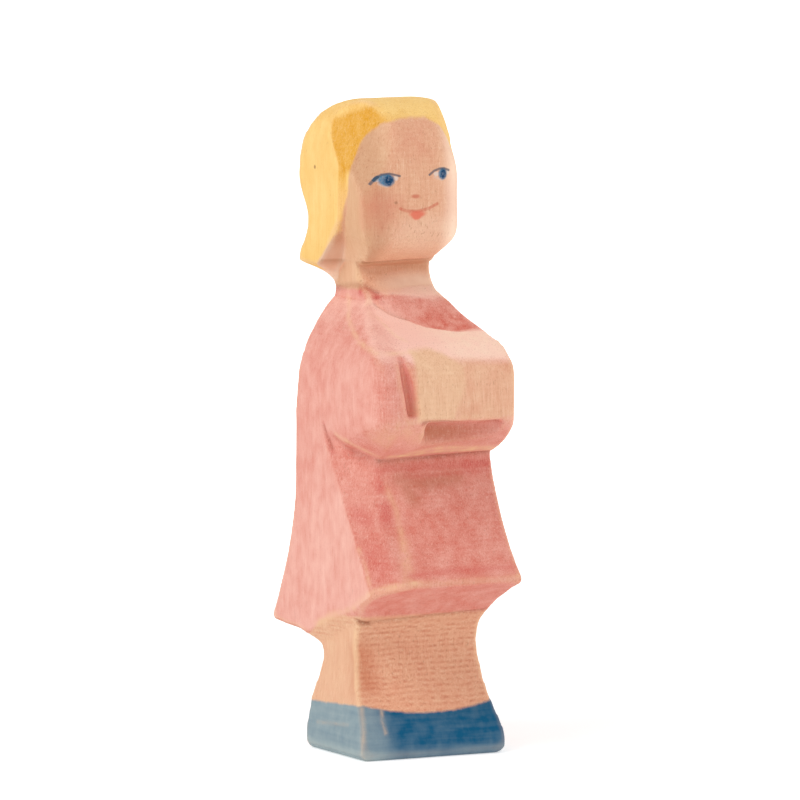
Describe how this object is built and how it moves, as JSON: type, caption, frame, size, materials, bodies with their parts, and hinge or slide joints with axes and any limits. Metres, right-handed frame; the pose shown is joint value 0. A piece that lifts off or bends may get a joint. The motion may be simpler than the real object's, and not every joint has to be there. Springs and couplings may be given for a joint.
{
  "type": "wooden toy figure",
  "caption": "Carved and painted wooden toy figure of a standing person with bobbed hair, folded arms, a flared dress and shoes; solid, free-standing on a flat sole.",
  "frame": {"origin": "middle of the footprint box, on the table under the sole", "axes": "+Z from sole to crown; the figure looks towards -Y; its right hand is at -X"},
  "size_m": [0.0282, 0.044, 0.1137],
  "materials": {
    "bare_wood": "fine hardwood with a flesh tint rubbed in, matt",
    "hair_paint": "thin yellow paint with the grain showing, matt",
    "dress_paint": "thin pink paint with the grain showing, matt",
    "shoe_paint": "thin blue paint with the grain showing, matt",
    "eye_paint": "brushed blue paint, matt",
    "mouth_paint": "brushed red paint, matt"
  },
  "bodies": {
    "root": {"carved_figure": "bare_wood", "hair_paint": "hair_paint", "dress_paint": "dress_paint", "shoe_paint": "shoe_paint", "right_eye_paint": "eye_paint", "left_eye_paint": "eye_paint", "mouth_paint": "mouth_paint"}
  },
  "joints": []
}
